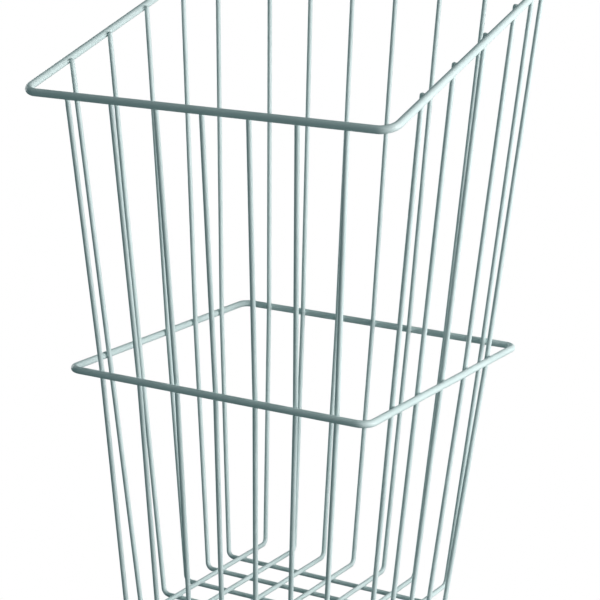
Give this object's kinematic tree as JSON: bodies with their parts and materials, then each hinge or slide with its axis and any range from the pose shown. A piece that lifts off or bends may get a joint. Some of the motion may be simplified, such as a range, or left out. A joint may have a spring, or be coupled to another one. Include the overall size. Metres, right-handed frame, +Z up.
{
  "type": "wire basket",
  "caption": "Tall tapered open basket of welded coated steel wire, with a sloping mouth, a ring around the middle and a crossed wire floor.",
  "frame": {"origin": "on the surface the basket stands on, under the middle of the mid ring", "axes": "+Z up, +Y to the rear where the mouth is high, +X to the right seen from the front"},
  "size_m": [0.3364, 0.3394, 0.5772],
  "materials": {
    "coated_wire": "satin pale grey powder coating over steel wire"
  },
  "bodies": {
    "root": {"top_rim": "coated_wire", "mid_ring": "coated_wire", "long_wire_1": "coated_wire", "long_wire_2": "coated_wire", "long_wire_3": "coated_wire", "long_wire_4": "coated_wire", "long_wire_5": "coated_wire", "long_wire_6": "coated_wire", "long_wire_7": "coated_wire", "cross_wire_1": "coated_wire", "cross_wire_2": "coated_wire", "cross_wire_3": "coated_wire", "cross_wire_4": "coated_wire", "cross_wire_5": "coated_wire"}
  },
  "joints": []
}
